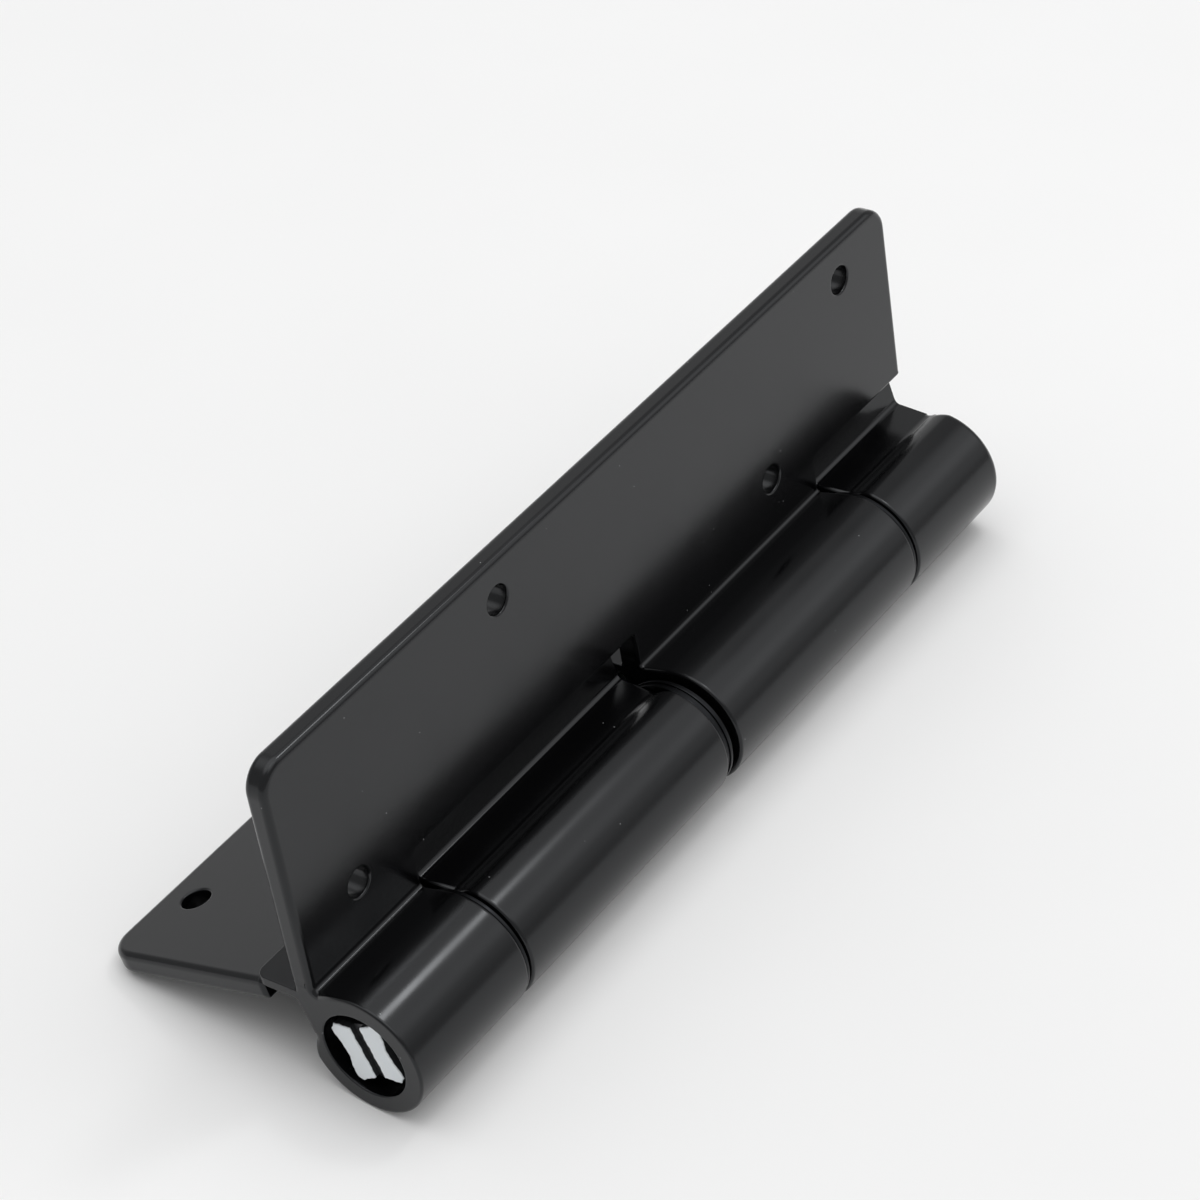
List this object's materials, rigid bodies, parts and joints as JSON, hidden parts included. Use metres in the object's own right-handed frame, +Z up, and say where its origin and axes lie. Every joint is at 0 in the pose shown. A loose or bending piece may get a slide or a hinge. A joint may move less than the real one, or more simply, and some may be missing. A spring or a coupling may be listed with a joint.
{
  "type": "self-closing gate hinge",
  "caption": "Spring-loaded gate hinge: identical black leaves with interleaved knuckles, locating lips, screw holes and slotted tension adjusters.",
  "frame": {"origin": "middle of the footprint of the resting hinge, on the plane it lies on", "axes": "+X along the hinge axis from the near adjuster to the far one, +Y from the knuckles towards the outer edge of the lying post leaf, +Z up"},
  "size_m": [0.1864, 0.0696, 0.0673],
  "materials": {
    "leaf_coat": "semi-gloss black powder coat on extruded aluminium",
    "zinc_steel": "bright zinc plate",
    "washer_steel": "blackened steel",
    "adjuster_steel": "turned steel, blackened, with its outer lands faced bright",
    "bearing_polymer": "self-lubricating bearing polymer",
    "spring_steel": "oil-tempered spring wire"
  },
  "bodies": {
    "post_leaf": {"post_leaf": "leaf_coat", "near_inner_bush": "bearing_polymer", "far_end_bush": "bearing_polymer", "near_spring_anchor": "zinc_steel", "pivot_pin": "zinc_steel", "middle_thick_washer": "washer_steel", "middle_thin_washer": "washer_steel", "middle_spacer": "bearing_polymer", "far_lock_screw": "zinc_steel", "near_torsion_spring": "spring_steel"},
    "gate_leaf": {"gate_leaf": "leaf_coat", "near_end_bush": "bearing_polymer", "far_inner_bush": "bearing_polymer", "far_spring_anchor": "zinc_steel", "near_gap_washer": "washer_steel", "far_gap_washer": "washer_steel", "near_lock_screw": "zinc_steel", "far_torsion_spring": "spring_steel"},
    "near_adjuster": {"near_adjuster": "adjuster_steel", "near_spring_driver": "zinc_steel", "near_driver_pin": "zinc_steel"},
    "far_adjuster": {"far_adjuster": "adjuster_steel", "far_spring_driver": "zinc_steel", "far_driver_pin": "zinc_steel"}
  },
  "joints": [
    {"name": "leaf_swing", "type": "hinge", "parent": "post_leaf", "child": "gate_leaf", "pos_m": [0, -0.02277, 0.012], "axis": [1, 0, 0], "range_deg": [0, 180], "stiffness_Nm_per_rad": 0.8, "springref_deg": -57.3, "deforming": ["near_torsion_spring", "far_torsion_spring"]},
    {"name": "near_adjuster_turn", "type": "hinge", "parent": "gate_leaf", "child": "near_adjuster", "pos_m": [0, -0.02277, 0.012], "axis": [1, 0, 0], "range_deg": [0, 360]},
    {"name": "far_adjuster_turn", "type": "hinge", "parent": "post_leaf", "child": "far_adjuster", "pos_m": [0, -0.02277, 0.012], "axis": [-1, 0, 0], "range_deg": [0, 360]}
  ]
}
